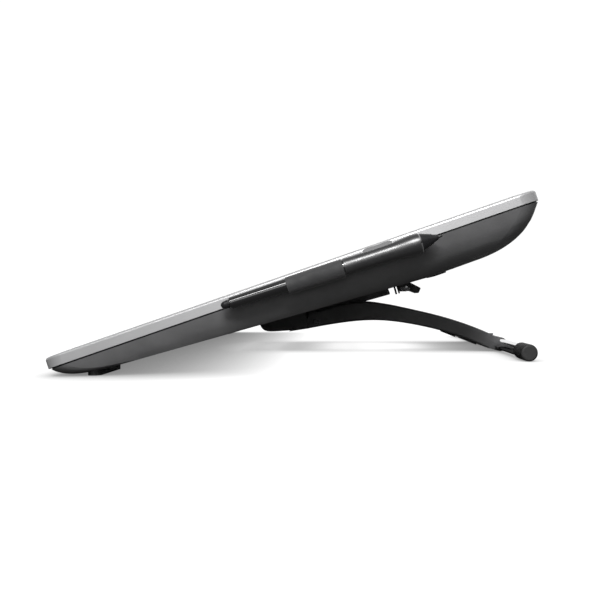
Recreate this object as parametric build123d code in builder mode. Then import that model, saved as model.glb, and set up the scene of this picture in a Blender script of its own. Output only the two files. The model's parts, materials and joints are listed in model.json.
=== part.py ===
from build123d import *
import os
from math import cos, radians, sin, sqrt, tan

os.makedirs("parts", exist_ok=True)

# Pen drawing tablet: a 22-inch class pen display on its tilting, turning stand, with a pen in a
# loop on its right edge. Millimetres. +X is the user's right, +Y is away from the user, +Z is up.
# The origin is the middle of the whole object's footprint, on the table that it stands on.

# ---------------------------------------------------------------- driving dimensions
WIDTH = 650.0            # tablet, left to right
LENGTH = 409.4           # tablet, front edge to rear edge, along its slope
CORNER_R = 17.8          # plan corners
INCLINE = 19.04          # screen plane above the table
BACK_WEDGE = 3.27        # flat back, tilted against the screen plane
FRONT_Y = -211.0         # front edge line of the screen plane
FRONT_Z = 13.154
CENTRE_X = -8.0          # mid-plane of tablet and stand: the pen hangs out on the right

BEZEL_DEPTH = 8.7        # side face of the front bezel
SEAM = 1.1               # shadow gap between bezel and rear cover
SEAM_INSET = 1.6
RIM = BEZEL_DEPTH + SEAM
BELLY = 38.3             # deepest point of the rear cover below the screen plane
BACK_AT_FRONT = 20.518    # depth of the flat back's plane at the front edge line
WALL = 2.5               # rear cover
SIDE_WALL = 2.6          # bezel
TOP_WALL = 2.4

TURN_V = 213.29           # turntable centre, from the front edge along the slope
RECESS_R = 112.0         # shallow dish in the back that the stand turns in
RECESS_DEPTH = 4.0
HUB_R = 29.95
BEARING_BORE_R = 30.0

HINGE_U = -12.4          # hinge axis, from the turntable centre along the back
HINGE_D = 14.9           # and below the flat back
LEG_REACH = 210.9        # hinge axis to cross bar axis
LEG_FALL = 7.03          # chord of the leg below the horizontal
LEG_HALF = 84.0          # outer faces of the leg's side arms
ARM_IN = 57.5            # inner faces of the side arms
BASE_HALF = 55.0         # hinge block between the arms
PIN_R = 4.0
BUSH_R = 5.0
ARM_END_R = 10.8
RUN = 0.05               # radial running clearance

BAR_R = 6.4
BAR_HALF = 198.0
CAP_R = 8.3
CAP_LENGTH = 29.0
CAP_END = 202.0          # outer end faces of the rubber caps
BOSS_R = 7.9             # leg's rear end around the bar

GLASS = (504.0, 296.0)
GLASS_TOP = 0.3
GLASS_THICK = 2.0
MID_V = LENGTH / 2
KEY = (21.0, 17.0)
KEY_STEPS = (31.0, 53.0, 75.0)
KEY_X = 289.0
KEY_GAP = 0.35
KEY_FLANGE = 1.6
TOGGLE_R = 11.5

PEN_GAP = 8.3            # pen axis outside the tablet's side face
PEN_TAIL_V = 148.99
PEN_TAIL_DEPTH = 7.0
PEN_TIP_V = 324.59
PEN_TIP_DEPTH = 11.2
LOOP_START = 52.4        # pen loop, from the tail along the pen
LOOP_END = 96.7

# ---------------------------------------------------------------- frames
SLOPE = radians(INCLINE)
SCREEN = Plane(
    origin=(CENTRE_X, FRONT_Y, FRONT_Z), x_dir=(1, 0, 0), z_dir=(0, -sin(SLOPE), cos(SLOPE))
)


def level(depth):
    """Plane parallel to the screen, depth below it: local x is sideways, y is up the slope."""
    return SCREEN.offset(-depth)


def back_depth(v):
    """Depth of the flat back below the screen plane, v up the slope."""
    return BACK_AT_FRONT + v * tan(radians(BACK_WEDGE))


BACK_ANGLE = radians(INCLINE - BACK_WEDGE)
BACK = Plane(
    origin=SCREEN.from_local_coords((0, TURN_V, -back_depth(TURN_V))),
    x_dir=(1, 0, 0),
    z_dir=(0, -sin(BACK_ANGLE), cos(BACK_ANGLE)),
)


def inside(height):
    """Plane parallel to the flat back, height inside it (negative is below the tablet)."""
    return BACK.offset(height)


def downward(height):
    """The same plane turned over: its normal points out of the back, local y runs to the front."""
    return Plane(origin=inside(height).origin, x_dir=(1, 0, 0), z_dir=-BACK.z_dir)


def stand_side(x):
    """Side plane of the stand at x: local x runs up the back from the turntable, y is inwards."""
    return Plane(origin=BACK.from_local_coords((x, 0, 0)), x_dir=BACK.y_dir, z_dir=(1, 0, 0))


HINGE = BACK.from_local_coords((0, HINGE_U, -HINGE_D))
FALL = radians(LEG_FALL)


def leg_side(x):
    """Side plane of the leg at x: origin on the hinge axis, local x along the chord to the bar."""
    return Plane(
        origin=(CENTRE_X + x, HINGE.Y, HINGE.Z), x_dir=(0, cos(FALL), -sin(FALL)), z_dir=(1, 0, 0)
    )


BAR = leg_side(0).from_local_coords((LEG_REACH, 0, 0))


def bar_side(x):
    """Plane square to the cross bar at x, origin on its axis, level with the table."""
    return Plane(origin=(CENTRE_X + x, BAR.Y, BAR.Z), x_dir=(0, 1, 0), z_dir=(1, 0, 0))


PEN_X = WIDTH / 2 + PEN_GAP
PEN_TAIL = SCREEN.from_local_coords((PEN_X, PEN_TAIL_V, -PEN_TAIL_DEPTH))
PEN_TIP = SCREEN.from_local_coords((PEN_X, PEN_TIP_V, -PEN_TIP_DEPTH))
PEN_LENGTH = (PEN_TIP - PEN_TAIL).length
PEN_DIR = (PEN_TIP - PEN_TAIL).normalized()
PEN_AXIS = Axis(origin=PEN_TAIL, direction=PEN_DIR)
PEN_SIDE = Plane(origin=PEN_TAIL, x_dir=PEN_DIR, z_dir=(1, 0, 0))


def pen_at(station):
    """Plane square to the pen, station along it from the tail: local x is sideways."""
    return Plane(origin=PEN_TAIL + PEN_DIR * station, x_dir=(1, 0, 0), z_dir=PEN_DIR)


def save(builder, name):
    """Label a finished piece and write its STEP file."""
    builder.part.label = name
    export_step(builder.part, f"parts/{name}.step")


def disc(plane, radius, height, bore=0.0):
    """Round plate or ring that stands on a plane."""
    with BuildPart() as made:
        with BuildSketch(plane):
            Circle(radius)
            if bore:
                Circle(bore, mode=Mode.SUBTRACT)
        extrude(amount=height)
    return made.part


def discs(plane, places, radius, height, bore=0.0):
    """Equal round plates, pins or rings that stand on a plane at several places."""
    with BuildPart() as made:
        with BuildSketch(plane):
            with Locations(*places):
                Circle(radius)
                if bore:
                    Circle(bore, mode=Mode.SUBTRACT)
        extrude(amount=height)
    return made.part


def slabs(plane, places, size, height, radius=1.0):
    """Equal plates with rounded corners that stand on a plane at several places."""
    with BuildPart() as made:
        with BuildSketch(plane):
            with Locations(*places):
                RectangleRounded(size[0], size[1], radius)
        extrude(amount=height)
    return made.part


def screws(plane, places, shank_r, length, head_r, head):
    """Equal screws: heads on the plane's near side, shanks along its normal."""
    with BuildPart() as made:
        add(discs(plane, places, shank_r, length))
        with BuildSketch(plane.offset(-head)):
            with Locations(*places):
                Circle(head_r)
                RegularPolygon(head_r * 0.45, 6, mode=Mode.SUBTRACT)
        extrude(amount=head)
        with BuildSketch(plane):
            with Locations(*places):
                Circle(head_r)
        extrude(amount=-head * 0.4)
    return made.part


# ---------------------------------------------------------------- rear cover
def swell(t, lean, belly):
    """Inset of a convex wall at t from rim (0) to belly (1): a lean plus a rounded run-out."""
    return lean * t + belly * (1 - (1 - t**3) ** (1 / 3))


def front_inset(depth):
    """Front wall: an elliptical nose that meets the flat back, and runs straight on below it."""
    start, rise, reach, meet = 4.2, 17.5, 35.0, 21.0
    t = (min(depth, meet) - start) / rise
    nose = reach * (1 - sqrt(1 - t * t))
    slope = reach * t / sqrt(1 - t * t) / rise
    return nose + slope * max(depth - meet, 0.0)


COVER_STEPS = (0.0, 0.12, 0.27, 0.43, 0.58, 0.7, 0.8, 0.88, 0.94, 0.98, 1.0)


def cover_body(thin):
    """Convex tub under the bezel, every wall moved in by thin."""
    with BuildPart() as tub:
        for step in COVER_STEPS:
            depth = RIM + (BELLY - thin - RIM) * step
            front = front_inset(depth) + thin
            rear = LENGTH - 0.6 - swell(step, 16.0, 44.5) - thin
            half = WIDTH / 2 - 0.5 - swell(step, 12.6, 38.0) - thin
            with BuildSketch(level(depth)):
                with Locations((0, (front + rear) / 2)):
                    RectangleRounded(2 * half, rear - front, CORNER_R - thin + 6.6 * step)
        loft()
        split(bisect_by=inside(thin), keep=Keep.TOP)
    return tub.part


CASE_SCREWS = [(x, v) for x in (-255, -110, 110, 255) for v in (32, 380)]
BOSS_MEET = 14.0         # bezel bosses and cover bosses meet at this depth
CASE_SEAT = 17.0         # seat of the case screws' heads
MOUNT_SQUARE = [(x, u) for x in (-50, 50) for u in (-50, 50)]   # arm-mount pattern
MOUNT_R = 2.1
BEARING_SCREWS = [(31.1, 31.1), (-31.1, 31.1), (31.1, -31.1), (-31.1, -31.1)]
STRIP = (9.0, 92.0)
STRIP_PLACES = [(-276, 8), (276, 8)]
STRIP_DEPTH = 0.8
FOOT_Y = -173.0          # middle of the front feet on the table
VENT_V = 323.0
VENT_PLACES = [(side * (72 + 11 * k), VENT_V) for side in (-1, 1) for k in range(10)]
VENT_SLOT = (3.0, 17.0)
BAY = (110.0, 24.0)
BAY_AT = [(-155, 80)]
BAY_DEPTH = 12.0

outer_tub = cover_body(0.0)
inner_tub = cover_body(WALL)

with BuildPart() as cover_bosses:
    add(discs(level(BOSS_MEET + 26), CASE_SCREWS, 5.2, 26))
    add(disc(inside(WALL - 0.5), RECESS_R + WALL, RECESS_DEPTH + 0.5))
    add(slabs(inside(WALL - 0.5), BAY_AT, (BAY[0] + 5, BAY[1] + 5), BAY_DEPTH, 3))
    add(outer_tub, mode=Mode.INTERSECT)

with BuildPart() as rear_cover:
    add(outer_tub)
    with BuildSketch(level(RIM)):
        with Locations((0, MID_V + 0.5)):
            RectangleRounded(WIDTH - 2 * SEAM_INSET, LENGTH - 2 * SEAM_INSET - 1, CORNER_R - SEAM_INSET)
    extrude(amount=SEAM)
    add(inner_tub, mode=Mode.SUBTRACT)
    with BuildSketch(level(RIM + 1)):
        with Locations((0, MID_V)):
            RectangleRounded(WIDTH - 9, LENGTH - 11, CORNER_R - 5)
    extrude(amount=SEAM + 2, mode=Mode.SUBTRACT)
    add(cover_bosses.part)
    add(disc(inside(-5), RECESS_R, RECESS_DEPTH + 5), mode=Mode.SUBTRACT)
    add(disc(inside(0), BEARING_BORE_R + 1.5, 12), mode=Mode.SUBTRACT)
    add(discs(inside(RECESS_DEPTH + 0.4), BEARING_SCREWS, 1.25, 5), mode=Mode.SUBTRACT)
    add(discs(inside(0), MOUNT_SQUARE, MOUNT_R, 12), mode=Mode.SUBTRACT)
    add(discs(level(60), CASE_SCREWS, 1.7, 50), mode=Mode.SUBTRACT)
    add(discs(level(60), CASE_SCREWS, 3.3, 60 - CASE_SEAT), mode=Mode.SUBTRACT)
    add(slabs(inside(-2), STRIP_PLACES, STRIP, 2 + STRIP_DEPTH, 4.4), mode=Mode.SUBTRACT)
    add(slabs(level(60), VENT_PLACES, VENT_SLOT, 40, 1.45), mode=Mode.SUBTRACT)
    add(slabs(inside(-3), BAY_AT, BAY, 3 + BAY_DEPTH, 2), mode=Mode.SUBTRACT)
save(rear_cover, "rear_cover")


# ---------------------------------------------------------------- front bezel and its bosses
CHASSIS_SCREWS = [(x, v) for x in (-258, 258) for v in (50, MID_V, 359)]
CHASSIS_TOP = 12.4
BOARD_POSTS = [(side * KEY_X, MID_V + end * 90) for side in (-1, 1) for end in (-1, 1)]
KEY_BOARD_TOP = 5.6
KEY_PLACES = [(side * KEY_X, MID_V + way * step)
              for side in (-1, 1) for way in (1, -1) for step in KEY_STEPS]
TOGGLE_PLACES = [(-KEY_X, MID_V), (KEY_X, MID_V)]
POWER_AT = (KEY_X, 380.0)
POWER_KEY = (16.0, 6.0)
LIGHT_AT = (KEY_X - 18, POWER_AT[1])
LIGHT_R = 1.5
KEY_SLOT = (KEY[0] + 2 * KEY_GAP, KEY[1] + 2 * KEY_GAP)
POWER_SLOT = (POWER_KEY[0] + 2 * KEY_GAP, POWER_KEY[1] + 2 * KEY_GAP)

with BuildPart() as front_bezel:
    with BuildSketch(level(BEZEL_DEPTH)):
        with Locations((0, MID_V)):
            RectangleRounded(WIDTH, LENGTH, CORNER_R)
    extrude(amount=BEZEL_DEPTH)
    top_face = front_bezel.faces().sort_by(Axis(origin=SCREEN.origin, direction=SCREEN.z_dir))[-1]
    fillet(top_face.edges(), 2.2)
    with BuildSketch(level(BEZEL_DEPTH)):
        with Locations((0, MID_V)):
            RectangleRounded(WIDTH - 2 * SIDE_WALL, LENGTH - 2 * SIDE_WALL, CORNER_R - SIDE_WALL)
    extrude(amount=BEZEL_DEPTH - TOP_WALL, mode=Mode.SUBTRACT)
    add(discs(level(CHASSIS_TOP), CHASSIS_SCREWS, 4, CHASSIS_TOP - TOP_WALL))
    add(discs(level(BOSS_MEET), CASE_SCREWS, 5, BOSS_MEET - TOP_WALL))
    add(discs(level(KEY_BOARD_TOP), BOARD_POSTS, 3, KEY_BOARD_TOP - TOP_WALL))
    add(discs(level(CHASSIS_TOP), CHASSIS_SCREWS, 1.5, 8), mode=Mode.SUBTRACT)
    add(discs(level(BOSS_MEET), CASE_SCREWS, 1.5, 9), mode=Mode.SUBTRACT)
    add(discs(level(KEY_BOARD_TOP), BOARD_POSTS, 1.0, 3), mode=Mode.SUBTRACT)
    glass_hole = (GLASS[0] + 0.4, GLASS[1] + 0.4)
    add(slabs(level(TOP_WALL + 1), [(0, MID_V)], glass_hole, 5, 2), mode=Mode.SUBTRACT)
    add(slabs(level(TOP_WALL + 1), KEY_PLACES, KEY_SLOT, 5, 2), mode=Mode.SUBTRACT)
    add(slabs(level(TOP_WALL + 1), [POWER_AT], POWER_SLOT, 5, 2.5), mode=Mode.SUBTRACT)
    add(discs(level(TOP_WALL + 1), TOGGLE_PLACES, TOGGLE_R + KEY_GAP, 5), mode=Mode.SUBTRACT)
    add(discs(level(TOP_WALL + 1), [LIGHT_AT], LIGHT_R, 5), mode=Mode.SUBTRACT)
save(front_bezel, "front_bezel")

# ---------------------------------------------------------------- display stack
LCD = (492.0, 286.0)
LCD_THICK = 2.2
LIT_THICK = 5.5
BOARD_THICK = 1.6
LCD_TOP = GLASS_TOP + GLASS_THICK

with BuildPart() as screen_glass:
    add(slabs(level(LCD_TOP), [(0, MID_V)], GLASS, GLASS_THICK, 1.8))
save(screen_glass, "screen_glass")

with BuildPart() as lcd_panel:
    add(slabs(level(LCD_TOP + LCD_THICK), [(0, MID_V)], LCD, LCD_THICK))
save(lcd_panel, "lcd_panel")

LIT_BOTTOM = LCD_TOP + LCD_THICK + LIT_THICK
with BuildPart() as backlight_unit:
    add(slabs(level(LIT_BOTTOM), [(0, MID_V)], LCD, LIT_THICK))
save(backlight_unit, "backlight_unit")

with BuildPart() as digitizer_board:
    add(slabs(level(LIT_BOTTOM + BOARD_THICK), [(0, MID_V)], (480, 272), BOARD_THICK, 2))
save(digitizer_board, "digitizer_board")

# ---------------------------------------------------------------- chassis and boards
CHASSIS = (530.0, 328.0)
SHEET = 1.2
CHASSIS_BOTTOM = CHASSIS_TOP + SHEET
BOARD_TOP = 17.0
BOARD_BOTTOM = BOARD_TOP + BOARD_THICK
MAIN_AT = (165.0, 177.0)
MAIN_SIZE = (138.0, 148.0)
SUPPLY_AT = (-172.0, 163.0)
SUPPLY_SIZE = (124.0, 116.0)


def corners(place, size, inset=6.0):
    """Four screw places, one near each corner of a board."""
    half_x, half_v = size[0] / 2 - inset, size[1] / 2 - inset
    return [(place[0] + i * half_x, place[1] + j * half_v) for i in (-1, 1) for j in (-1, 1)]


BOARD_SCREWS = corners(MAIN_AT, MAIN_SIZE) + corners(SUPPLY_AT, SUPPLY_SIZE)

with BuildPart() as inner_chassis:
    add(slabs(level(CHASSIS_BOTTOM), [(0, MID_V)], CHASSIS, SHEET, 6))
    # stiffening ribs pressed downwards, clear of boards and turntable
    add(slabs(level(CHASSIS_BOTTOM + 3), [(0, 73), (0, 323)], (380, 5), 3, 2))
    add(discs(level(BOARD_TOP), BOARD_SCREWS, 3.2, BOARD_TOP - CHASSIS_BOTTOM))
    add(discs(level(CHASSIS_BOTTOM), CHASSIS_SCREWS, 1.7, SHEET + 1), mode=Mode.SUBTRACT)
    add(discs(level(BOARD_TOP), BOARD_SCREWS, 1.25, 3.4), mode=Mode.SUBTRACT)
save(inner_chassis, "inner_chassis")

with BuildPart() as main_board:
    add(slabs(level(BOARD_BOTTOM), [MAIN_AT], MAIN_SIZE, BOARD_THICK, 2))
    for place, size, tall in (((150, 195), (30, 30), 2.0), ((190, 155), (22, 16), 1.4),
                              ((135, 135), (40, 9), 2.6), ((195, 210), (14, 26), 2.2)):
        add(slabs(level(BOARD_BOTTOM + tall), [place], size, tall, 0.6))
    add(discs(level(BOARD_BOTTOM), corners(MAIN_AT, MAIN_SIZE), 1.3, 3), mode=Mode.SUBTRACT)
save(main_board, "main_board")

with BuildPart() as power_board:
    add(slabs(level(BOARD_BOTTOM), [SUPPLY_AT], SUPPLY_SIZE, BOARD_THICK, 2))
    for place, size, tall in (((-195, 185), (24, 20), 2.8), ((-150, 140), (34, 14), 2.4),
                              ((-200, 135), (12, 26), 2.6)):
        add(slabs(level(BOARD_BOTTOM + tall), [place], size, tall, 0.6))
    add(discs(level(BOARD_BOTTOM), corners(SUPPLY_AT, SUPPLY_SIZE), 1.3, 3), mode=Mode.SUBTRACT)
save(power_board, "power_board")

# ---------------------------------------------------------------- keys
KEY_BOARD = (36.0, 192.0)
DOME_TOP = 4.3
CAP_TOP = 0.2
CAP_FOOT = 2.5           # top of the flange that holds a cap under the bezel
FLANGE = 0.8

with BuildPart() as key_boards:
    add(slabs(level(KEY_BOARD_TOP + BOARD_THICK), TOGGLE_PLACES, KEY_BOARD, BOARD_THICK, 2))
    add(discs(level(KEY_BOARD_TOP + BOARD_THICK), BOARD_POSTS, 1.1, 3), mode=Mode.SUBTRACT)
save(key_boards, "key_boards")

with BuildPart() as key_domes:
    with BuildSketch(level(KEY_BOARD_TOP)):
        with Locations(*KEY_PLACES, *TOGGLE_PLACES):
            Circle(4.5)
    extrude(amount=KEY_BOARD_TOP - DOME_TOP, taper=35)
save(key_domes, "key_domes")

with BuildPart() as board_screws:
    add(screws(level(BOARD_BOTTOM), BOARD_SCREWS, 1.25, 4.6, 2.5, 1.4))
    add(screws(level(KEY_BOARD_TOP + BOARD_THICK), BOARD_POSTS, 1.0, 4, 2.0, 1.1))
save(board_screws, "board_screws")


def key_cap(place, size, radius):
    """Rectangular key cap: a dished top in the bezel's slot, and a flange under the bezel."""
    with BuildPart() as cap:
        add(slabs(level(CAP_FOOT), [place], size, CAP_FOOT - CAP_TOP, radius))
        crown = cap.faces().sort_by(Axis(origin=SCREEN.origin, direction=SCREEN.z_dir))[-1]
        fillet(crown.edges(), 0.6)
        rim = (size[0] + 2 * KEY_FLANGE, size[1] + 2 * KEY_FLANGE)
        add(slabs(level(CAP_FOOT + FLANGE), [place], rim, FLANGE, radius + KEY_FLANGE))
    return cap


KEY_NAMES = [f"{side}_key_{n}" for side in ("left", "right") for n in range(1, 7)]
for key_name, key_place in zip(KEY_NAMES, KEY_PLACES):
    save(key_cap(key_place, KEY, 1.8), key_name)
save(key_cap(POWER_AT, POWER_KEY, 2.3), "power_key")

for side_name, place in zip(("left", "right"), TOGGLE_PLACES):
    with BuildPart() as toggle_key:
        add(discs(level(CAP_FOOT), [place], TOGGLE_R, CAP_FOOT - CAP_TOP))
        crown = toggle_key.faces().sort_by(Axis(origin=SCREEN.origin, direction=SCREEN.z_dir))[-1]
        fillet(crown.edges(), 0.8)
        add(discs(level(CAP_TOP + 0.5), [place], 6.5, 2, 4.5), mode=Mode.SUBTRACT)
        add(discs(level(CAP_FOOT + FLANGE), [place], TOGGLE_R + KEY_FLANGE, FLANGE))
    save(toggle_key, f"{side_name}_toggle")

with BuildPart() as status_light:
    add(discs(level(TOP_WALL + 2), [LIGHT_AT], LIGHT_R, TOP_WALL + 1.9))
    add(discs(level(TOP_WALL + 2), [LIGHT_AT], LIGHT_R + 1.2, 1.2))
save(status_light, "status_light")

# ---------------------------------------------------------------- pieces on the rear cover
with BuildPart() as touch_strips:
    add(slabs(inside(-0.1), STRIP_PLACES, (STRIP[0] - 0.3, STRIP[1] - 0.3), STRIP_DEPTH + 0.1, 4.2))
save(touch_strips, "touch_strips")

SOCKETS = [((-194, 80), (18, 9), (14, 5)), ((-172, 80), (16, 12), (12, 8)),
           ((-150, 80), (16, 12), (12, 8)), ((-122, 80), (30, 13), (25, 8))]
with BuildPart() as port_block:
    add(slabs(inside(BAY_DEPTH - 1.2), BAY_AT, (BAY[0] - 0.4, BAY[1] - 0.4), 1.2, 1.8))
    for place, body, mouth in SOCKETS:
        add(slabs(inside(BAY_DEPTH - 6), [place], body, 5, 1.2))
        add(slabs(inside(BAY_DEPTH - 7), [place], mouth, 4.2, 1.0), mode=Mode.SUBTRACT)
        tongue = (mouth[0] - 3, mouth[1] * 0.3)
        add(slabs(inside(BAY_DEPTH - 5.4), [place], tongue, 3.6, 0.3))
save(port_block, "port_block")

FOOT_R = 5.5
FOOT_X = 286.0
REAR_FOOT_STEP = 1.4
with BuildPart() as rubber_feet:
    # front pair, ground flat where they rest on the table
    with BuildSketch(Plane.XY):
        with Locations((CENTRE_X - FOOT_X, FOOT_Y), (CENTRE_X + FOOT_X, FOOT_Y)):
            SlotOverall(52, 2 * FOOT_R)
    extrude(amount=7)
    # rear pair, for laying the tablet flat with its stand off
    add(slabs(level(BELLY + REAR_FOOT_STEP), [(-222, 326), (222, 326)], (58, 12), 6, 5.5))
    add(outer_tub, mode=Mode.SUBTRACT)
save(rubber_feet, "rubber_feet")

# ---------------------------------------------------------------- turntable
PLATE_LOW = 0.2          # heights inside the flat back: the turning plate lies in the recess
PLATE_HIGH = 3.2
PLATE_R = 56.0
RING_LOW = RECESS_DEPTH + WALL
RING_HIGH = RING_LOW + 4.0
KEEPER_LOW = RING_HIGH + 0.2
KEEPER_HIGH = KEEPER_LOW + 2.2
TONGUE_HALF = 28.0
TONGUE_END = 104.0
BASE_SCREWS = [(-22, 16), (22, 16), (-40, -34), (40, -34)]
BASE_SEAT = -4.0
KEEPER_SCREWS = [(0, 18), (-15.6, -9), (15.6, -9)]

with BuildPart() as turntable_bearing:
    add(disc(inside(RING_LOW), 52, RING_HIGH - RING_LOW, BEARING_BORE_R))
    add(discs(inside(RING_LOW), BEARING_SCREWS, 1.6, 6), mode=Mode.SUBTRACT)
save(turntable_bearing, "turntable_bearing")

with BuildPart() as case_screws:
    add(screws(level(CHASSIS_BOTTOM), CHASSIS_SCREWS, 1.5, 8, 3.0, 1.8))
    add(screws(level(CASE_SEAT), CASE_SCREWS, 1.5, 11, 2.9, 2.0))
    add(screws(downward(RING_HIGH), BEARING_SCREWS, 1.25, 5.8, 2.6, 1.6))
save(case_screws, "case_screws")

with BuildPart() as mount_bushes:
    add(discs(inside(RING_LOW), MOUNT_SQUARE, 5, 6, MOUNT_R))
save(mount_bushes, "mount_bushes")

with BuildPart() as turntable_plate:
    add(disc(inside(PLATE_LOW), PLATE_R, PLATE_HIGH - PLATE_LOW))
    add(slabs(inside(PLATE_LOW), [(0, TONGUE_END / 2)], (2 * TONGUE_HALF, TONGUE_END),
              PLATE_HIGH - PLATE_LOW, 4))
    add(disc(inside(PLATE_LOW), HUB_R, KEEPER_LOW - PLATE_LOW))
    add(discs(inside(-1), BASE_SCREWS, 2.0, 8), mode=Mode.SUBTRACT)
    add(discs(inside(KEEPER_LOW - 6), KEEPER_SCREWS, 1.5, 8), mode=Mode.SUBTRACT)
save(turntable_plate, "turntable_plate")

with BuildPart() as keeper_disc:
    add(disc(inside(KEEPER_LOW), 36, KEEPER_HIGH - KEEPER_LOW))
    add(discs(inside(KEEPER_LOW - 1), KEEPER_SCREWS, 1.7, 8), mode=Mode.SUBTRACT)
save(keeper_disc, "keeper_disc")

# ---------------------------------------------------------------- stand base
BASE_END = 78.0
BASE_LOW = -8.3
BARREL_R = 7.0
ROD_HALF = 4.0
ROD_TOP = 0.0
ROD_LOW = -1.8
TOE_GAP_R = ARM_END_R + 0.4

with BuildPart() as stand_base:
    # plate on the turntable, with the barrel that carries the hinge pin
    with BuildSketch(stand_side(-BASE_HALF)):
        with BuildLine():
            Polyline((-62, PLATE_LOW), (BASE_END, PLATE_LOW), (BASE_END + 0.8, BASE_LOW + 1.5),
                     (BASE_END, BASE_LOW), (6, BASE_LOW), (HINGE_U + 4, -HINGE_D),
                     (-28, -18.5), (-50, -15.4), (-62, -10), (-62, PLATE_LOW))
        make_face()
        with Locations((HINGE_U, -HINGE_D)):
            Circle(BARREL_R)
    extrude(amount=2 * BASE_HALF)
    # full-width toe in front of the arms, hollowed round their ends
    with BuildSketch(stand_side(-LEG_HALF)):
        with BuildLine():
            toe = Spline((-75.2, -0.8), (-73.4, -7.0), (-62.2, -12.6), (-42, -17.2), (-22.3, -20.2),
                         tangents=((0, -1), (1, -0.12)))
            Polyline(toe @ 1, (-21.5, -0.8), toe @ 0)
        make_face()
        with Locations((HINGE_U, -HINGE_D)):
            Circle(TOE_GAP_R, mode=Mode.SUBTRACT)
    extrude(amount=2 * LEG_HALF)
    with BuildSketch(stand_side(-LEG_HALF - 5)):
        with Locations((HINGE_U, -HINGE_D)):
            Circle(PIN_R)
    extrude(amount=2 * LEG_HALF + 10, mode=Mode.SUBTRACT)
    # channel of the lock rod, screw holes
    add(slabs(inside(ROD_LOW - 0.4), [(0, 45)], (2 * ROD_HALF + 0.6, 110), 4, 0.5), mode=Mode.SUBTRACT)
    add(discs(inside(-30), BASE_SCREWS, 2.1, 34), mode=Mode.SUBTRACT)
    add(discs(inside(-30), BASE_SCREWS, 4.0, 30 + BASE_SEAT), mode=Mode.SUBTRACT)
save(stand_base, "stand_base")

with BuildPart() as stand_screws:
    add(screws(inside(BASE_SEAT), BASE_SCREWS, 2.0, 7, 3.7, 2.4))
    add(screws(downward(KEEPER_HIGH), [(x, -u) for x, u in KEEPER_SCREWS], 1.5, 8, 2.8, 1.6))
save(stand_screws, "stand_screws")

# ---------------------------------------------------------------- hinge pin and bushes
PIN_HALF = 82.5
BUSH_END = 83.0

with BuildPart() as hinge_pin:
    with BuildSketch(leg_side(-PIN_HALF)):
        Circle(PIN_R)
    extrude(amount=2 * PIN_HALF)
save(hinge_pin, "hinge_pin")

with BuildPart() as hinge_bushes:
    for start in (-BUSH_END, ARM_IN):
        with BuildSketch(leg_side(start)):
            Circle(BUSH_R)
            Circle(PIN_R + RUN, mode=Mode.SUBTRACT)
        extrude(amount=BUSH_END - ARM_IN)
save(hinge_bushes, "hinge_bushes")

CAP_SLOT = (8.7, 4.1)
with BuildPart() as hinge_caps:
    for start in (-LEG_HALF - 0.2, BUSH_END):
        with BuildSketch(leg_side(start)):
            RectangleRounded(CAP_SLOT[0], CAP_SLOT[1], 0.8)
        extrude(amount=LEG_HALF + 0.2 - BUSH_END)
save(hinge_caps, "hinge_caps")

# ---------------------------------------------------------------- leg
LOWER = [(-6.6, -8.55), (27, 1.6), (67, 9.7), (108, 10.3), (150.3, 5.7), (199, -6.4)]
UPPER = [(200, 9.8), (169.6, 18.1), (141.3, 23.3), (99.4, 28.0), (57.8, 29.4), (30, 23.6), (-2.5, 10.5)]
WEB = 5.0
WEB_RISE = 4.0           # web's underside above the arms' underside
WEB_HALF = ARM_IN + 3.5
WINDOW_HALF = 46.0
WINDOW_FROM = 58.0
WINDOW_TO = 128.0
BAR_SCREWS = (-34.0, 34.0)
BAR_SCREW_R = 1.6
BAR_HEAD_R = 2.9


def bar_seat(x):
    """Seat of a bar screw on top of the leg's boss at x, its normal straight down into the bar."""
    return Plane(origin=(CENTRE_X + x, BAR.Y, BAR.Z + BOSS_R), x_dir=(1, 0, 0), z_dir=(0, 0, -1))


def arm(start):
    """Arched side arm of the leg, from x = start to the outside of its 26.5 mm width."""
    with BuildPart() as made:
        with BuildSketch(leg_side(start)):
            with BuildLine():
                low = Spline(*LOWER)
                high = Spline(*UPPER)
                Polyline(low @ 1, (206.5, -6.55), (206.5, 6.55), high @ 0)
                ThreePointArc(high @ 1, (-ARM_END_R, 0), low @ 0)
            make_face()
        extrude(amount=LEG_HALF - ARM_IN)
        fillet(made.edges().filter_by(GeomType.BSPLINE), 2.0)
    return made.part


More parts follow.
